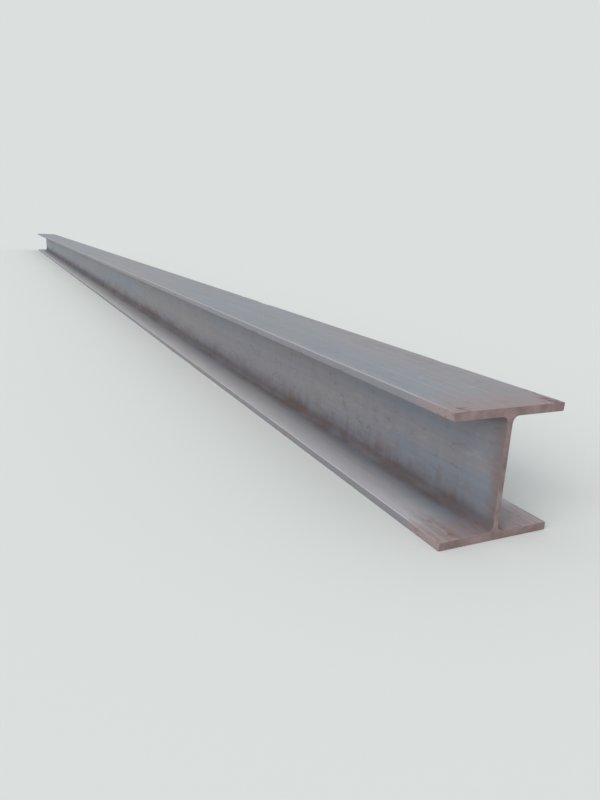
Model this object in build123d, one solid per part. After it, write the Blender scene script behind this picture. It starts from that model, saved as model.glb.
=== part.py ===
from build123d import *

import os

# Driving dimensions, in millimetres: a hot-rolled wide-flange beam, 150 x 150 x 7 x 10,
# sawn to a 6 m stock length.
length = 6000.0
depth = 150.0
flange_width = 150.0
flange_thickness = 10.0
web_thickness = 7.0
root_radius = 8.0
toe_outer_radius = 1.2
toe_inner_radius = 2.0

# The beam lies along X and rests on its lower flange, with Z = 0 at the flange's underside.
# The section is drawn with its X across the flanges, from the middle of the web, and its Y up.
lower_flange_middle = flange_thickness / 2
upper_flange_middle = depth - flange_thickness / 2
flange_outer_faces = (0.0, depth)
flange_inner_faces = (flange_thickness, depth - flange_thickness)
web_face = web_thickness / 2
toe_face = flange_width / 2
TOLERANCE = 0.001


def corners(section, across, heights):
    """The section's corners at this distance either side of the web's middle, at these heights."""
    return [
        corner
        for corner in section.vertices()
        if abs(abs(corner.X) - across) < TOLERANCE
        and min(abs(corner.Y - height) for height in heights) < TOLERANCE
    ]


def rolled_section():
    """Two parallel flanges and the web between them, as one outline.

    Concave root fillets run the web into the flanges. The edging rolls square the flange
    toes, and leave their outer corners crisper than the inner ones.
    """
    with BuildSketch(Plane.YZ) as section:
        with Locations((0, lower_flange_middle), (0, upper_flange_middle)):
            Rectangle(flange_width, flange_thickness)
        with Locations((0, depth / 2)):
            Rectangle(web_thickness, depth - flange_thickness)
        fillet(corners(section, web_face, flange_inner_faces), root_radius)
        fillet(corners(section, toe_face, flange_inner_faces), toe_inner_radius)
        fillet(corners(section, toe_face, flange_outer_faces), toe_outer_radius)
    return section.sketch


def i_beam():
    """The section drawn out to the stock length, with both ends sawn square."""
    return extrude(rolled_section(), amount=length / 2, both=True)


os.makedirs("parts", exist_ok=True)
export_step(i_beam(), "parts/i_beam.step")
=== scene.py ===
import math
import random

import bmesh
import bpy
from mathutils import Matrix, Vector, noise


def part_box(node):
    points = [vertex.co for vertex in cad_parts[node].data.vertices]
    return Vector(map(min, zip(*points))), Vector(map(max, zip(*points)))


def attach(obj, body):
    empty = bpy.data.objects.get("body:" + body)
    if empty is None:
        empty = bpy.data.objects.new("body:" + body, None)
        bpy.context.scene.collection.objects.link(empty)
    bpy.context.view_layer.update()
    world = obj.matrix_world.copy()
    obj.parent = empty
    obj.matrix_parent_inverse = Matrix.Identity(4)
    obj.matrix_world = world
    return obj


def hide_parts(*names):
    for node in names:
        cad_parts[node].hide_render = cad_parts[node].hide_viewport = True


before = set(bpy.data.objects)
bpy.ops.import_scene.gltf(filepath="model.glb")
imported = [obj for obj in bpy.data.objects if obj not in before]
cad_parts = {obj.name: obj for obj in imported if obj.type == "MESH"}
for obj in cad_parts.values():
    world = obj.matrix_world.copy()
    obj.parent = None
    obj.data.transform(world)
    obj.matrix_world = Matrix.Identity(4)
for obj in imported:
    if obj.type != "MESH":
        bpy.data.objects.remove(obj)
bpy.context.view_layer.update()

# The rolled beam: one length of hot-rolled carbon steel, with parallel flanges and a thin web.
# The rolls leave fillets at the roots of the web, and rounded toes that wander a little.
# Handling has nicked the corners of the toes. Both ends are sawn square.

# Lengths here are in metres, and most are written in millimetres.
MM = 0.001
half_length, half_width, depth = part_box("i_beam")[1]
mid_depth = depth / 2
web_half = 3.5 * MM
flange_thickness = 10 * MM
root_radius = 8 * MM
toe_outer_radius = 1.2 * MM
toe_inner_radius = 2.0 * MM

# Each toe wanders inwards from the true section, in a slow wave and a quick one. A row has a
# wave's length and size, and two numbers that set it apart from other toes and the other wave.
# The wander grows from nothing at the web to its full size at the toe, as this power of the way.
toe_waves = (
    (900 * MM, 0.5 * MM, 11.3, 0.5),
    (170 * MM, 0.2 * MM, 7.1, 4.5),
)
wander_power = 3

# A nick fades out over its reach along the toe and its width across it, and is slanted: it goes
# up or down by a share of what it goes in. Most nicks are in the outer corner.
toe_count = 4
nicks_per_toe = 20
nick_reaches = (8 * MM, 22 * MM)
nick_depths = (0.3 * MM, 1.2 * MM)
nick_width = 5 * MM
nick_slant = 0.6
outer_corner_share = 0.6
reaches_to_fade = 3

# The saw leaves an edge that is chipped unevenly.
chip_depth = 0.35 * MM
chip_unevenness = 0.8
chips_per_metre = 260

# The mesh repeats the section at these steps, the shorter ones near the ends. A point beside
# each corner of the section, and two rings beside each cut, keep soft shading off the flats.
fine_zone = 250 * MM
fine_step = 4 * MM
coarse_step = 8 * MM
rings_by_cut = (1 * MM, 0.5 * MM)
point_by_corner = 0.5 * MM


def straight(start, end, spans):
    """Points from start up to, but not at, end, with one close to each end to keep it flat."""
    hold = point_by_corner / math.dist(start, end)
    shares = [0, hold] + [span / spans for span in range(1, spans)] + [1 - hold]
    return [
        (start[0] + share * (end[0] - start[0]), start[1] + share * (end[1] - start[1]))
        for share in shares
    ]


def arc(centre, radius, start_degrees, turn_degrees, spans):
    """Points round an arc, from its start up to, but not at, its end."""
    angles = [
        math.radians(start_degrees + turn_degrees * span / spans) for span in range(spans)
    ]
    return [
        (centre[0] + radius * math.cos(angle), centre[1] + radius * math.sin(angle))
        for angle in angles
    ]


def quarter_outline():
    """The section from the middle of its underside to mid-depth, on the +Y side, as (y, z)."""
    outer_arc_y = half_width - toe_outer_radius
    inner_arc_y = half_width - toe_inner_radius
    inner_arc_z = flange_thickness - toe_inner_radius
    root_y = web_half + root_radius
    root_z = flange_thickness + root_radius
    return (
        straight((0, 0), (outer_arc_y, 0), spans=2)
        + arc((outer_arc_y, toe_outer_radius), toe_outer_radius, -90, 90, spans=3)
        + straight((half_width, toe_outer_radius), (half_width, inner_arc_z), spans=2)
        + arc((inner_arc_y, inner_arc_z), toe_inner_radius, 0, 90, spans=3)
        + straight((inner_arc_y, flange_thickness), (root_y, flange_thickness), spans=2)
        + arc((root_y, root_z), root_radius, 270, -90, spans=5)
        + straight((web_half, root_z), (web_half, mid_depth), spans=1)
    )


def section_outline():
    """The whole outline, counter-clockwise as seen from the +X end."""
    lower = quarter_outline()
    upper = [(y, depth - z) for y, z in reversed(lower[1:])]
    right = lower + [(web_half, mid_depth)] + upper
    return right + [(-y, depth - z) for y, z in right]


def stations():
    """Places along the beam where the section is repeated, closer together near the ends."""
    coarse_length = half_length - fine_zone
    coarse = [coarse_step * step for step in range(round(coarse_length / coarse_step))]
    fine = [coarse_length + fine_step * step for step in range(round(fine_zone / fine_step))]
    ahead = coarse + fine + [half_length - away for away in rings_by_cut] + [half_length]
    return [-x for x in reversed(ahead[1:])] + ahead


def toe_wander(x, toe):
    """How far out this toe lies at x from the true section: never past it, so never over 0."""
    return sum(
        size * (noise.noise(Vector((x / length, apart * toe, level))) - 1)
        for length, size, apart, level in toe_waves
    )


def handling_nicks(seed):
    """Dents that lifting and dropping have left in one toe, as (x, reach, depth, outer)."""
    pick = random.Random(seed)
    return [
        (
            pick.uniform(-half_length, half_length),
            pick.uniform(*nick_reaches),
            pick.uniform(*nick_depths),
            pick.random() < outer_corner_share,
        )
        for _ in range(nicks_per_toe)
    ]


def worn_point(x, y, z, nicks):
    """Where a point of the rolled outline lies once its toe has wandered and been nicked."""
    side = 1 if y > 0 else -1
    level = 1 if z > mid_depth else -1
    toe = (side > 0) + 2 * (level > 0)
    from_web = max(0.0, (abs(y) - web_half) / (half_width - web_half))
    worn_y = y + side * toe_wander(x, toe) * from_web**wander_power
    worn_z = z
    for place, reach, dent, outer in nicks[toe]:
        if abs(x - place) > reaches_to_fade * reach:
            continue
        corner_z = mid_depth + level * (mid_depth - (0 if outer else flange_thickness))
        away = math.hypot(abs(y) - half_width, z - corner_z) / nick_width
        push = dent * math.exp(-(((x - place) / reach) ** 2) - away**2)
        worn_y -= side * push
        worn_z -= level * (1 if outer else -1) * nick_slant * push
    return Vector((x, worn_y, worn_z))


def chipped(point, before, after):
    """A point on the saw's edge, drawn in from the outline by an uneven chip."""
    inward = Vector((0, before[1] - after[1], after[0] - before[0])).normalized()
    uneven = 1 + chip_unevenness * noise.noise(point * chips_per_metre)
    return point + inward * chip_depth * uneven


outline = section_outline()
count = len(outline)
places = stations()


def section_rings(mesh):
    """The section's points at each station, worn at the toes and chipped at the two cuts."""
    nicks = [handling_nicks(seed) for seed in range(toe_count)]
    rings = []
    for x in places:
        ring = [worn_point(x, y, z, nicks) for y, z in outline]
        if abs(x) == half_length:
            ring = [
                chipped(ring[index], outline[index - 1], outline[(index + 1) % count])
                for index in range(count)
            ]
        rings.append([mesh.verts.new(point) for point in ring])
    return rings


# A flat map takes the skin off the beam in three lengths, and lays them side by side on a
# square sheet, with the two sawn faces above them. girth is how far round the section each of
# its points lies. The rest are sizes on the sheet, and where the middles of the cuts come.
girth = [0.0]
for index in range(count):
    girth.append(girth[-1] + math.dist(outline[index], outline[(index + 1) % count]))
strips = 3
strip_length = 2 * half_length / strips
strip_gap = 10 * MM
strip_pitch = girth[-1] + strip_gap
sheet = strips * strip_pitch
foot_margin = 5 * MM
side_margin = 30 * MM
cut_foot = strip_length + 4 * strip_gap
first_cut_middle = side_margin + half_width
second_cut_middle = first_cut_middle + 2 * half_width + strip_gap


def cover_length(mesh, flat_map, rings):
    """The faces along the beam, each on its place in the strips."""
    for number in range(len(places) - 1):
        this, other = rings[number], rings[number + 1]
        x, next_x = places[number], places[number + 1]
        strip = int(((x + next_x) / 2 + half_length) / strip_length)
        left = strip * strip_pitch
        foot = strip * strip_length - half_length - foot_margin
        for index in range(count):
            after = (index + 1) % count
            face = mesh.faces.new((this[index], this[after], other[after], other[index]))
            face.smooth = True
            near, far = left + girth[index], left + girth[index + 1]
            flat = ((near, x), (far, x), (far, next_x), (near, next_x))
            for loop, (across, along) in zip(face.loops, flat):
                loop[flat_map].uv = (across / sheet, (along - foot) / sheet)


def cover_cuts(mesh, flat_map, rings):
    """The two sawn faces, which take the second material."""
    for ring, middle, way in (
        (rings[0][::-1], first_cut_middle, -1), (rings[-1], second_cut_middle, 1)
    ):
        cut = mesh.faces.new(ring)
        cut.material_index = 1
        cut.normal_update()
        for edge in cut.edges:
            edge.smooth = False
        for loop in cut.loops:
            across = middle + way * loop.vert.co.y
            loop[flat_map].uv = (across / sheet, (cut_foot + loop.vert.co.z) / sheet)
        bmesh.ops.triangulate(mesh, faces=[cut])


def build_beam():
    """The beam as one mesh, with the flat map that its colours can be laid on."""
    mesh = bmesh.new()
    flat_map = mesh.loops.layers.uv.new("OFBake")
    rings = section_rings(mesh)
    cover_length(mesh, flat_map, rings)
    cover_cuts(mesh, flat_map, rings)
    data = bpy.data.meshes.new("rolled_beam")
    mesh.to_mesh(data)
    mesh.free()
    piece = bpy.data.objects.new("rolled_beam", data)
    bpy.context.scene.collection.objects.link(piece)
    return piece


# Mill scale, the brittle skin of iron oxide that forms as the red-hot beam is rolled. It gives
# the eye a smooth blue-grey with a dull sheen and a brown haze, streaked along the beam. Damp has
# turned it purple-brown in the roots, and rust has started there, on the toes and by the cuts.
# Light is painted into its colour as well: a bluer reflection by the ends, highlights on the
# flange edges and toes, and shade in the roots and on the undersides.


def colour(code):
    """A linear RGBA colour from an sRGB hex code."""
    parts = [int(code[place : place + 2], 16) / 255 for place in (1, 3, 5)]
    return tuple(p / 12.92 if p <= 0.04045 else ((p + 0.055) / 1.055) ** 2.4 for p in parts) + (1,)


def add(tree, kind, inputs, **settings):
    """A new shader node. Each input is a value, or the node or socket that feeds it.

    Math, Mix and MixShader take their inputs by number. A Mix has its share at 0, and what it
    mixes at 2 and 3 if they are numbers, and at 6 and 7 if they are colours.
    """
    node = tree.nodes.new("ShaderNode" + kind)
    for name, value in settings.items():
        setattr(node, name, value)
    for name, value in inputs.items():
        if isinstance(value, bpy.types.Node):
            value = next(output for output in value.outputs if output.enabled)
        if isinstance(value, bpy.types.NodeSocket):
            tree.links.new(value, node.inputs[name])
        else:
            node.inputs[name].default_value = value
    return node


def new_material(name):
    """A material with nothing yet in its tree of nodes."""
    material = bpy.data.materials.new(name)
    material.use_nodes = True
    material.node_tree.nodes.clear()
    return material


# Nearly all of a noise lies in this range, and a pattern that takes the range uses all of it.
noise_range = {"From Min": 0.3, "From Max": 0.7}


def scale_marks(tree, point):
    """The marks of rolling and weather, by name, each a noise drawn out to its own size.

    A row has the mark's length along the beam and its width across it in millimetres, the
    detail and roughness of its noise, and by how many degrees it is slewed on the flanges.
    """
    sizes = {
        "drift": (1500, 220, 2.0, 0.5, 0),
        "patches": (420, 60, 4.0, 0.6, 0),
        "clouds": (110, 40, 6.0, 0.65, 0),
        "streaks": (700, 6, 4.0, 0.7, 0),
        "runs": (14, 160, 3.0, 0.6, 0),
        "flakes": (26, 9, 4.0, 0.6, 0),
        "freckles": (32, 18, 9.0, 0.72, 0),
        # Real tracks and scratches are about 1 mm wide. They are drawn wider, to show at all.
        "tracks": (1800, 3, 2.0, 0.6, 0),
        "scratches": (150, 2, 1.0, 0.5, 24),
        "cross scratches": (110, 2, 1.0, 0.5, -41),
        # Real grain is under 1 mm. It is drawn 5 mm long and 2.5 mm wide, to show at all.
        "grain": (5, 2.5, 3.0, 0.6, 0),
    }
    marks = {}
    for name, (along, across, detail, rough, slew) in sizes.items():
        stretched = add(
            tree, "Mapping",
            {
                "Vector": point,
                "Rotation": (0, 0, math.radians(slew)),
                "Scale": (along * MM, across * MM, across * MM),
            },
            vector_type="TEXTURE",
        )
        marks[name] = add(
            tree, "TexNoise",
            {"Vector": stretched, "Scale": 1.0, "Detail": detail, "Roughness": rough},
        ).outputs["Fac"]
    marks["weathered"] = add(
        tree, "Math", {0: marks["drift"], 1: marks["patches"]}, operation="ADD"
    )
    marks["orange"] = add(
        tree, "MapRange", {"Value": marks["clouds"], "From Min": 0.45, "From Max": 0.65},
        interpolation_type="SMOOTHSTEP",
    )
    return marks


def beam_places(tree, point):
    """Where a point lies along the beam and on its section, by name."""
    x, y, z = add(tree, "SeparateXYZ", {"Vector": point}).outputs
    normal = add(tree, "NewGeometry", {}).outputs["Normal"]
    facing_up = add(tree, "SeparateXYZ", {"Vector": normal}).outputs["Z"]
    x_away = add(tree, "Math", {0: x}, operation="ABSOLUTE")
    y_away = add(tree, "Math", {0: y}, operation="ABSOLUTE")
    height = add(tree, "Math", {0: z, 1: mid_depth}, operation="SUBTRACT")
    z_away = add(tree, "Math", {0: height}, operation="ABSOLUTE")
    to_end = add(tree, "Math", {0: half_length, 1: x_away}, operation="SUBTRACT")
    off_web = add(tree, "Math", {0: y_away, 1: web_half}, operation="SUBTRACT")
    off_flange = add(
        tree, "Math", {0: mid_depth - flange_thickness, 1: z_away}, operation="SUBTRACT"
    )
    # A step out over the flange counts double, so what starts at the root goes further up the web.
    flange_weight = 2
    from_root = add(
        tree, "Math", {0: off_web, 1: flange_weight, 2: off_flange}, operation="MULTIPLY_ADD"
    )
    # The flanges' inner faces are the edges of the channel, and this much slack takes them in.
    slack = 1 * MM
    in_channel = add(tree, "Math", {0: off_flange, 1: -slack}, operation="GREATER_THAN")
    # The upper roots count for less than the lower ones, and the change is about mid-depth.
    change, upper_share = 15 * MM, 0.45
    lower = add(
        tree, "MapRange",
        {"Value": height, "From Min": change, "From Max": -change, "To Min": upper_share},
    )
    sloping, flat = 0.4, 0.95
    upward = add(
        tree, "MapRange", {"Value": facing_up, "From Min": sloping, "From Max": flat},
        interpolation_type="SMOOTHSTEP",
    )
    downward = add(
        tree, "MapRange", {"Value": facing_up, "From Min": -sloping, "From Max": -flat}
    )
    toe_from, toe_to = half_width - 6 * MM, half_width - 2 * MM
    at_toe = add(
        tree, "MapRange", {"Value": y_away, "From Min": toe_from, "From Max": toe_to},
        interpolation_type="SMOOTHSTEP",
    )
    return {
        "to end": to_end,
        "off web": off_web,
        "from root": from_root,
        "in channel": in_channel,
        "lower": lower,
        "upward": upward,
        "downward": downward,
        "at toe": at_toe,
    }


# Each layer that follows covers part of the surface so far. masks has every mark and place by its
# name, and a layer adds to it what later ones need.


def oxide_and_end_reflection(tree, masks):
    """Blue-grey oxide, hazed browner further in; the bluer ends are a painted reflection."""
    bluest_to, haziest_from, added_haze, most_haze = 400 * MM, 1400 * MM, 0.17, 0.7
    # Less haze by the ends paints them bluer, as a painted reflection of the light there.
    further_in = add(
        tree, "MapRange",
        {
            "Value": masks["to end"],
            "From Min": bluest_to,
            "From Max": haziest_from,
            "To Max": added_haze,
        },
        interpolation_type="SMOOTHSTEP",
    )
    haze_and_end_reflection = add(tree, "Math", {0: masks["weathered"], 1: further_in}, operation="ADD")
    haze_and_end_reflection = add(
        tree, "MapRange", {"Value": haze_and_end_reflection, "From Min": 0.95, "From Max": 1.3, "To Max": most_haze},
        interpolation_type="SMOOTHSTEP",
    )
    blue_grey, brown_grey = colour("#6f7580"), colour("#807a7b")
    return add(tree, "Mix", {0: haze_and_end_reflection, 6: blue_grey, 7: brown_grey}, data_type="RGBA")


def streaks_and_runs(tree, masks, surface):
    """Streaks that the rolls have drawn out, most on what faces up, and runs from wet weather."""
    streak_contrast, run_contrast, upright_share = 0.1, 0.06, 0.63
    streaked = add(
        tree, "MapRange",
        {
            "Value": masks["streaks"],
            **noise_range,
            "To Min": 1 - streak_contrast,
            "To Max": 1 + streak_contrast,
        },
    )
    streak_share = add(tree, "MapRange", {"Value": masks["upward"], "To Min": upright_share})
    streaked = add(tree, "Mix", {0: streak_share, 2: 1.0, 3: streaked}, data_type="FLOAT")
    run_down = add(
        tree, "MapRange",
        {
            "Value": masks["runs"],
            **noise_range,
            "To Min": 1 - run_contrast,
            "To Max": 1 + run_contrast,
        },
    )
    tone = add(tree, "Math", {0: streaked, 1: run_down}, operation="MULTIPLY")
    return add(
        tree, "Mix", {0: 1.0, 6: surface, 7: tone}, data_type="RGBA", blend_type="MULTIPLY"
    )


def flaked_scale(tree, masks, surface):
    """Thin scale that has flaked off to a paler grey, and thick scale that is nearly black."""
    patch_weight, most_flaked, most_thick = 0.4, 0.25, 0.3
    loose = add(
        tree, "Math", {0: masks["patches"], 1: patch_weight, 2: masks["flakes"]},
        operation="MULTIPLY_ADD",
    )
    flaked = add(
        tree, "MapRange",
        {"Value": loose, "From Min": 0.83, "From Max": 0.88, "To Max": most_flaked},
    )
    pale_grey, near_black = colour("#92969e"), colour("#45474c")
    surface = add(tree, "Mix", {0: flaked, 6: surface, 7: pale_grey}, data_type="RGBA")
    thick = add(
        tree, "MapRange",
        {"Value": masks["flakes"], "From Min": 0.4, "From Max": 0.34, "To Max": most_thick},
    )
    masks["flaked"] = flaked
    return add(tree, "Mix", {0: thick, 6: surface, 7: near_black}, data_type="RGBA")


def settled_dust(tree, masks, surface):
    """Dust on what faces up, paler towards the lower toe: partly dust, partly painted light."""
    thin_at, thick_at, thinnest = 18 * MM, 66 * MM, 0.15
    on_upper_flange, barest = 0.12, 0.8
    # Partly painted light: darker by the web, where it is shaded, and paler at the outer edge.
    outwards = add(
        tree, "MapRange",
        {
            "Value": masks["off web"],
            "From Min": thin_at,
            "From Max": thick_at,
            "To Min": thinnest,
        },
    )
    settled = add(
        tree, "Mix", {0: masks["in channel"], 2: on_upper_flange, 3: outwards}, data_type="FLOAT"
    )
    uneven = add(tree, "MapRange", {"Value": masks["clouds"], **noise_range, "To Min": barest})
    dust = add(tree, "Math", {0: settled, 1: uneven}, operation="MULTIPLY")
    dust = add(tree, "Math", {0: dust, 1: masks["upward"]}, operation="MULTIPLY")
    masks["dust"] = dust
    return add(tree, "Mix", {0: dust, 6: surface, 7: colour("#c8c5c7")}, data_type="RGBA")


def drawn_tracks(tree, masks, surface):
    """Pale tracks that rolls and handling have drawn along what faces up.

    Slings and forks have scratched it on the slant.
    """
    most_rubbed = 0.5
    share = add(
        tree, "MapRange",
        {"Value": masks["patches"], "From Min": 0.36, "From Max": 0.58, "To Max": most_rubbed},
    )
    share = add(tree, "Math", {0: share, 1: masks["upward"]}, operation="MULTIPLY")
    tracked = add(
        tree, "MapRange", {"Value": masks["tracks"], "From Min": 0.54, "From Max": 0.7}
    )
    tracked = add(tree, "Math", {0: tracked, 1: share}, operation="MULTIPLY")
    dragged = add(
        tree, "Math", {0: masks["scratches"], 1: masks["cross scratches"]}, operation="MAXIMUM"
    )
    scratched = add(tree, "MapRange", {"Value": dragged, "From Min": 0.7, "From Max": 0.75})
    scratched = add(tree, "Math", {0: scratched, 1: share}, operation="MULTIPLY")
    rubbed = add(tree, "Math", {0: tracked, 1: scratched}, operation="MAXIMUM")
    return add(tree, "Mix", {0: rubbed, 6: surface, 7: colour("#aaa8a9")}, data_type="RGBA")


def painted_underside_shade(tree, masks, surface):
    """What faces down, painted browner and darker as shade."""
    darkest = 0.6
    share = add(tree, "Math", {0: masks["downward"], 1: darkest}, operation="MULTIPLY")
    return add(tree, "Mix", {0: share, 6: surface, 7: colour("#4f4442")}, data_type="RGBA")


def damp_roots(tree, masks, surface):
    """A purple-brown band that damp keeps along the roots, wider at the lower ones.

    Runs down the web have feathered it. Dirt and painted shade darken its inner edge, in the root.
    """
    narrow, wide, deepest = 26 * MM, 58 * MM, 0.85
    run_contrast = 0.25
    feather = add(
        tree, "MapRange",
        {
            "Value": masks["runs"],
            **noise_range,
            "To Min": 1 - run_contrast,
            "To Max": 1 + run_contrast,
        },
    )
    feather = add(tree, "Mix", {0: masks["upward"], 2: feather, 3: 1.0}, data_type="FLOAT")
    feather = add(tree, "Math", {0: feather, 1: masks["lower"]}, operation="MULTIPLY")
    width = add(
        tree, "MapRange",
        {"Value": masks["clouds"], **noise_range, "To Min": narrow, "To Max": wide},
    )
    width = add(tree, "Math", {0: width, 1: feather}, operation="MULTIPLY")
    band = add(
        tree, "MapRange",
        {"Value": masks["from root"], "From Min": width, "From Max": 0.0, "To Max": deepest},
        interpolation_type="SMOOTHSTEP",
    )
    band = add(tree, "Math", {0: band, 1: masks["in channel"]}, operation="MULTIPLY")
    # The darkest inner edge is dirt and painted shade, where the corner of the root lies in shade.
    grime_and_root_shade = add(tree, "MapRange", {"Value": band, "From Min": 0.4, "From Max": 0.8})
    purple_brown, dirt_and_root_shade = colour("#635d60"), colour("#4e4749")
    shade = add(tree, "Mix", {0: grime_and_root_shade, 6: purple_brown, 7: dirt_and_root_shade}, data_type="RGBA")
    masks.update({"feather": feather, "band": band, "grime_and_root_shade": grime_and_root_shade})
    return add(tree, "Mix", {0: band, 6: surface, 7: shade}, data_type="RGBA")


def rust_shade(tree, masks, share, brown, other_brown, dirty_shaded_brown):
    """Two browns mixed by a share, and a darker one where dirt and painted shade fill the root."""
    shade = add(
        tree, "Mix", {0: share, 6: colour(brown), 7: colour(other_brown)}, data_type="RGBA"
    )
    return add(
        tree, "Mix", {0: masks["grime_and_root_shade"], 6: shade, 7: colour(dirty_shaded_brown)}, data_type="RGBA"
    )


def rusty_wash(tree, masks, surface):
    """A wash of rust that has crept further up the web in some lengths, more so by the ends."""
    far_off, close_by, added_damp = 600 * MM, 100 * MM, 0.2
    cloud_weight = 0.8
    dry_to, soaked_from, wettest = 1.48, 1.62, 1.86
    low, high, deepest = 22 * MM, 64 * MM, 0.7
    near_end = add(
        tree, "MapRange",
        {
            "Value": masks["to end"],
            "From Min": far_off,
            "From Max": close_by,
            "To Max": added_damp,
        },
    )
    damp = add(tree, "Math", {0: masks["weathered"], 1: near_end}, operation="ADD")
    damp = add(
        tree, "Math", {0: masks["clouds"], 1: cloud_weight, 2: damp}, operation="MULTIPLY_ADD"
    )
    soaked = add(
        tree, "MapRange", {"Value": damp, "From Min": dry_to, "From Max": soaked_from},
        interpolation_type="SMOOTHSTEP",
    )
    reach = add(
        tree, "MapRange",
        {"Value": damp, "From Min": dry_to, "From Max": wettest, "To Min": low, "To Max": high},
    )
    combed = add(
        tree, "Math", {0: masks["feather"], 1: masks["feather"]}, operation="MULTIPLY"
    )
    reach = add(tree, "Math", {0: reach, 1: combed}, operation="MULTIPLY")
    crept = add(
        tree, "MapRange", {"Value": masks["from root"], "From Min": reach, "From Max": 0.0},
        interpolation_type="SMOOTHSTEP",
    )
    stain = add(tree, "Math", {0: crept, 1: masks["in channel"]}, operation="MULTIPLY")
    stain = add(tree, "Math", {0: stain, 1: soaked}, operation="MULTIPLY")
    wash = add(tree, "Math", {0: stain, 1: deepest}, operation="MULTIPLY")
    brown, orange_brown, dirty_shaded_brown = "#625652", "#786357", "#4e423f"
    shade = rust_shade(tree, masks, masks["orange"], brown, orange_brown, dirty_shaded_brown)
    masks["root stain"] = stain
    return add(tree, "Mix", {0: wash, 6: surface, 7: shade}, data_type="RGBA")


def toe_highlights(tree, masks, surface):
    """Toes painted paler in streaks, and their upward edges palest: a painted highlight."""
    least, most = 0.4, 0.75
    paler = add(
        tree, "MapRange",
        {
            "Value": masks["streaks"],
            "From Min": 0.35,
            "From Max": 0.65,
            "To Min": least,
            "To Max": most,
        },
    )
    paler = add(tree, "Math", {0: paler, 1: masks["at toe"]}, operation="MULTIPLY")
    # The pale edge colour is the painted highlight of the rounded upper corner.
    face, edge = colour("#7b7677"), colour("#b4b0b2")
    shade = add(tree, "Mix", {0: masks["upward"], 6: face, 7: edge}, data_type="RGBA")
    return add(tree, "Mix", {0: paler, 6: surface, 7: shade}, data_type="RGBA")


def end_bloom(tree, masks, surface):
    """Bare steel at the cut rusts first, and a thin bloom spreads a little way back from it.

    It goes further over the flanges and toes, where water lies and dust makes it pinkish.
    """
    short, long, flange_spread = 10 * MM, 36 * MM, 3.2
    thinnest, stain_share = 0.45, 0.8
    on_flange = add(tree, "Math", {0: masks["upward"], 1: masks["at toe"]}, operation="MAXIMUM")
    ragged = add(
        tree, "Mix", {0: 0.5, 2: masks["clouds"], 3: masks["freckles"]}, data_type="FLOAT"
    )
    reach = add(
        tree, "MapRange",
        {"Value": ragged, "From Min": 0.38, "From Max": 0.62, "To Min": short, "To Max": long},
    )
    spread = add(
        tree, "MapRange", {"Value": on_flange, "To Min": 1.0, "To Max": flange_spread}
    )
    reach = add(tree, "Math", {0: reach, 1: spread}, operation="MULTIPLY")
    within_reach = add(tree, "Math", {0: masks["to end"], 1: reach}, operation="DIVIDE")
    stain = add(
        tree, "MapRange", {"Value": within_reach, "From Min": 1.1, "From Max": 0.1},
        interpolation_type="SMOOTHSTEP",
    )
    thinned = add(
        tree, "MapRange",
        {"Value": masks["streaks"], "From Min": 0.32, "From Max": 0.68, "To Min": thinnest},
    )
    bloom = add(tree, "Math", {0: stain, 1: thinned}, operation="MULTIPLY")
    dull_brown, pinkish, dirty_shaded_brown = "#6b5b59", "#8f7a79", "#5c4f4f"
    shade = rust_shade(tree, masks, on_flange, dull_brown, pinkish, dirty_shaded_brown)
    masks["end stain"] = add(tree, "Math", {0: stain, 1: stain_share}, operation="MULTIPLY")
    return add(tree, "Mix", {0: bloom, 6: surface, 7: shade}, data_type="RGBA")


def rust_proper(tree, masks, surface):
    """Freckles of rust where the scale has pitted, running together where it is stained.

    Rust starts where the noise of the freckles clears a bar, which is lower on stained scale.
    The toes are stained in broken lengths.
    """
    clean_bar, stained_bar, thickest = 0.76, 0.5, 0.72
    toe_stain = add(tree, "Math", {0: masks["at toe"], 1: masks["orange"]}, operation="MULTIPLY")
    stain = add(
        tree, "Math", {0: masks["root stain"], 1: masks["end stain"]}, operation="MAXIMUM"
    )
    stain = add(tree, "Math", {0: stain, 1: toe_stain}, operation="MAXIMUM")
    bar = add(tree, "MapRange", {"Value": stain, "To Min": clean_bar, "To Max": stained_bar})
    over_bar = add(tree, "Math", {0: masks["freckles"], 1: bar}, operation="SUBTRACT")
    rust = add(
        tree, "MapRange", {"Value": over_bar, "From Min": -0.03, "From Max": 0.1},
        interpolation_type="SMOOTHSTEP",
    )
    brown, orange_brown, dirty_shaded_brown = "#66524a", "#8a6650", "#634b3f"
    shade = rust_shade(tree, masks, masks["orange"], brown, orange_brown, dirty_shaded_brown)
    cover = add(tree, "Math", {0: rust, 1: thickest}, operation="MULTIPLY")
    masks["rust"] = rust
    return add(tree, "Mix", {0: cover, 6: surface, 7: shade}, data_type="RGBA")


def scale_sheen(tree, masks):
    """How rough the surface is: smooth scale, duller under dust, and matt under rust and dirt."""
    smoothest, dullest, added_by_dust, matt = 0.4, 0.54, 0.25, 0.95
    roughness = add(
        tree, "MapRange",
        {"Value": masks["patches"], **noise_range, "To Min": smoothest, "To Max": dullest},
    )
    roughness = add(
        tree, "Math", {0: masks["dust"], 1: added_by_dust, 2: roughness},
        operation="MULTIPLY_ADD",
    )
    crusted = add(tree, "Math", {0: masks["rust"], 1: masks["band"]}, operation="MAXIMUM")
    return add(tree, "Mix", {0: crusted, 2: roughness, 3: matt}, data_type="FLOAT")


def scale_relief(tree, masks):
    """The grain of the scale, with crusts of rust on it and flakes gone from it."""
    highest, grain_share, flake_share = 0.4 * MM, 0.35, 0.6
    crust = add(tree, "Math", {0: masks["rust"], 1: masks["freckles"]}, operation="MULTIPLY")
    relief = add(
        tree, "Math", {0: masks["grain"], 1: grain_share, 2: crust}, operation="MULTIPLY_ADD"
    )
    relief = add(
        tree, "Math", {0: masks["flaked"], 1: -flake_share, 2: relief}, operation="MULTIPLY_ADD"
    )
    return add(tree, "Bump", {"Strength": 0.5, "Distance": highest, "Height": relief})


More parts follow.
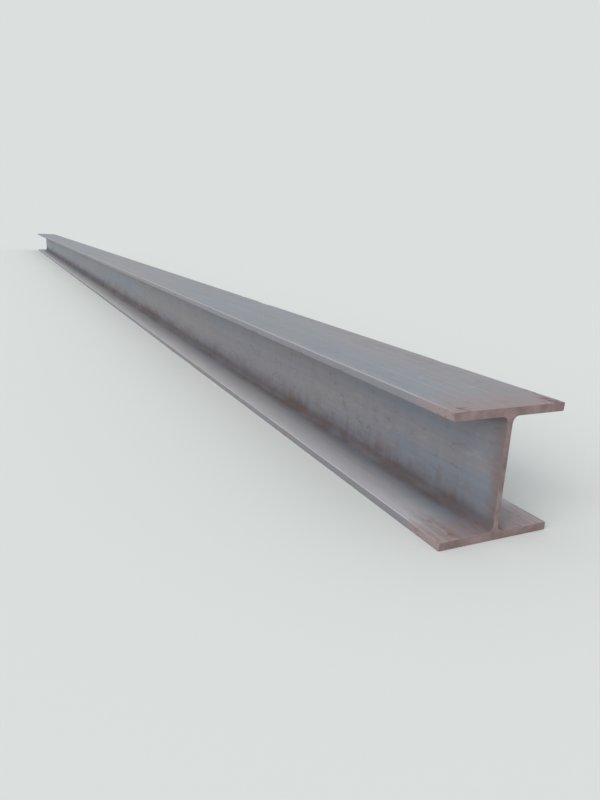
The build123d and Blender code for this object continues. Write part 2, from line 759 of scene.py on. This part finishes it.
def mill_scale():
    """The whole finish of the rolled faces, layer by layer."""
    material = new_material("rusting_mill_scale")
    tree = material.node_tree
    point = add(tree, "TexCoord", {}).outputs["Object"]
    masks = {**scale_marks(tree, point), **beam_places(tree, point)}
    surface = oxide_and_end_reflection(tree, masks)
    layers = (
        streaks_and_runs,
        flaked_scale,
        settled_dust,
        drawn_tracks,
        painted_underside_shade,
        damp_roots,
        rusty_wash,
        toe_highlights,
        end_bloom,
        rust_proper,
    )
    for layer in layers:
        surface = layer(tree, masks, surface)
    # Magnetite's index is about 2.4. The dust and pores of real scale bring it well down.
    shader = add(
        tree, "BsdfPrincipled",
        {
            "Base Color": surface,
            "Roughness": scale_sheen(tree, masks),
            "Metallic": 0.0,
            "IOR": 1.6,
            "Normal": scale_relief(tree, masks),
        },
    )
    add(tree, "OutputMaterial", {"Surface": shader})
    return material


# The saw cut: bare steel that a cold saw has laid open, under a thin, even coat of fresh rust.
# The coat hides the metal, and gives the eye a matt, pinkish brown with faint arcs of the blade.


def saw_cut():
    """The finish of the two sawn faces."""
    material = new_material("rusted_saw_cut")
    tree = material.node_tree
    point = add(tree, "TexCoord", {}).outputs["Object"]
    cloud_size, speck_size, most_rust = 16 * MM, 4 * MM, 0.5
    clouds = add(
        tree, "TexNoise",
        {"Vector": point, "Scale": 1 / cloud_size, "Detail": 5.0, "Roughness": 0.65},
    ).outputs["Fac"]
    specks = add(
        tree, "TexNoise",
        {"Vector": point, "Scale": 1 / speck_size, "Detail": 4.0, "Roughness": 0.7},
    ).outputs["Fac"]
    # The blade turned about a point well outside the section. The real arcs are under 1 mm
    # apart, and are drawn 3 mm apart, to show at all. At a scale of 1, rings are tau / 20 apart.
    blade_middle = Vector((0, -200 * MM, -300 * MM))
    arc_pitch, arc_depth, arc_contrast = 3 * MM, 0.2 * MM, 0.04
    from_blade = add(tree, "Mapping", {"Vector": point, "Location": -blade_middle})
    arcs = add(
        tree, "TexWave",
        {
            "Vector": from_blade,
            "Scale": math.tau / 20 / arc_pitch,
            "Distortion": 1.6,
            "Detail": 3.0,
        },
        wave_type="RINGS", rings_direction="X",
    )
    clouded = add(tree, "MapRange", {"Value": clouds, **noise_range})
    dull_brown, pinkish, rust = colour("#6c5a59"), colour("#957e7f"), colour("#6f5348")
    tone = add(tree, "Mix", {0: clouded, 6: dull_brown, 7: pinkish}, data_type="RGBA")
    speckled = add(
        tree, "MapRange",
        {"Value": specks, "From Min": 0.56, "From Max": 0.66, "To Max": most_rust},
    )
    tone = add(tree, "Mix", {0: speckled, 6: tone, 7: rust}, data_type="RGBA")
    marked = add(
        tree, "MapRange",
        {"Value": arcs, "To Min": 1 - arc_contrast, "To Max": 1 + arc_contrast},
    )
    tone = add(
        tree, "Mix", {0: 1.0, 6: tone, 7: marked}, data_type="RGBA", blend_type="MULTIPLY"
    )
    bumps = add(tree, "Bump", {"Strength": 0.4, "Distance": arc_depth, "Height": arcs})
    # Fresh rust is a powder, so it is matt, and its pores bring its index down as well.
    shader = add(
        tree, "BsdfPrincipled",
        {"Base Color": tone, "Roughness": 0.75, "Metallic": 0.0, "IOR": 1.6, "Normal": bumps},
    )
    add(tree, "OutputMaterial", {"Surface": shader})
    return material


beam = build_beam()
beam.data.materials.append(mill_scale())
beam.data.materials.append(saw_cut())
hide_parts("i_beam")
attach(beam, "root")


# The studio: a plain pale floor that runs on into a backdrop of its own colour, one broad soft
# lamp high on the side of the web that shows, and an even fill from all round.
backdrop = colour("#dbdfde")
floor_paint = colour("#dcdedb")
floor_radius, floor_corners = 60, 128
fade_from, fade_to = 4.5, 14.0
lamp_from = Vector((0.38, -0.78, 0.50))
lamp_strength = 1.7
lamp_breadth = math.radians(50)
fill_colour = colour("#f4f7fa")
fill_strength = 0.8


def pale_floor():
    """Matt paint, which fades far out into the plain light of the backdrop."""
    material = new_material("pale_floor")
    tree = material.node_tree
    point = add(tree, "TexCoord", {}).outputs["Object"]
    away = add(tree, "VectorMath", {0: point}, operation="LENGTH").outputs["Value"]
    far = add(
        tree, "MapRange", {"Value": away, "From Min": fade_from, "From Max": fade_to},
        interpolation_type="SMOOTHSTEP",
    )
    paint = add(tree, "BsdfDiffuse", {"Color": floor_paint})
    beyond = add(tree, "Emission", {"Color": backdrop, "Strength": 1.0})
    both = add(tree, "MixShader", {0: far, 1: paint, 2: beyond})
    add(tree, "OutputMaterial", {"Surface": both})
    return material


bpy.ops.mesh.primitive_circle_add(
    vertices=floor_corners, radius=floor_radius, fill_type="NGON"
)
floor = bpy.context.object
floor.name = "floor"
floor.data.materials.append(pale_floor())

lamp_data = bpy.data.lights.new("soft_lamp", "SUN")
lamp_data.energy = lamp_strength
lamp_data.angle = lamp_breadth
lamp = bpy.data.objects.new("soft_lamp", lamp_data)
lamp.rotation_euler = (-lamp_from).to_track_quat("-Z", "Y").to_euler()
bpy.context.scene.collection.objects.link(lamp)

world = bpy.data.worlds.new("studio")
bpy.context.scene.world = world
world.use_nodes = True
sky = world.node_tree
sky.nodes.clear()
rays = add(sky, "LightPath", {}).outputs
seen = add(sky, "Math", {0: rays["Is Camera Ray"], 1: rays["Is Glossy Ray"]}, operation="MAXIMUM")
seen = add(sky, "Math", {0: seen, 1: rays["Is Transmission Ray"]}, operation="MAXIMUM")
fill = add(sky, "Background", {"Color": fill_colour, "Strength": fill_strength})
shown = add(sky, "Background", {"Color": backdrop, "Strength": 1.0})
both = add(sky, "MixShader", {0: seen, 1: fill, 2: shown})
add(sky, "OutputWorld", {"Surface": both})
bpy.context.scene.view_settings.view_transform = "Standard"


# The camera looks at the sawn end from the photograph's side, from 20 degrees above it and with
# the photograph's own lens. It is turned from there to take in the whole length, and tilted as
# the photograph is.
side_angle, down_angle, distance = math.radians(44.5), math.radians(20), 0.7
aim_azimuth, aim_pitch, roll = math.radians(63.8), math.radians(15.2), math.radians(3)
focal_pixels, long_side_pixels = 629, 800

eye = Vector((half_length, 0, mid_depth)) + distance * Vector((
    math.cos(down_angle) * math.sin(side_angle),
    -math.cos(down_angle) * math.cos(side_angle),
    math.sin(down_angle),
))
forward = Vector((
    -math.sin(aim_azimuth) * math.cos(aim_pitch),
    math.cos(aim_azimuth) * math.cos(aim_pitch),
    -math.sin(aim_pitch),
))
camera_data = bpy.data.cameras.new("camera")
camera_data.sensor_width = 36
camera_data.lens = focal_pixels * camera_data.sensor_width / long_side_pixels
camera = bpy.data.objects.new("camera", camera_data)
camera.location = eye
camera.rotation_euler = (
    forward.to_track_quat("-Z", "Y").to_matrix() @ Matrix.Rotation(roll, 3, "Z")
).to_euler()
bpy.context.scene.collection.objects.link(camera)
bpy.context.scene.camera = camera
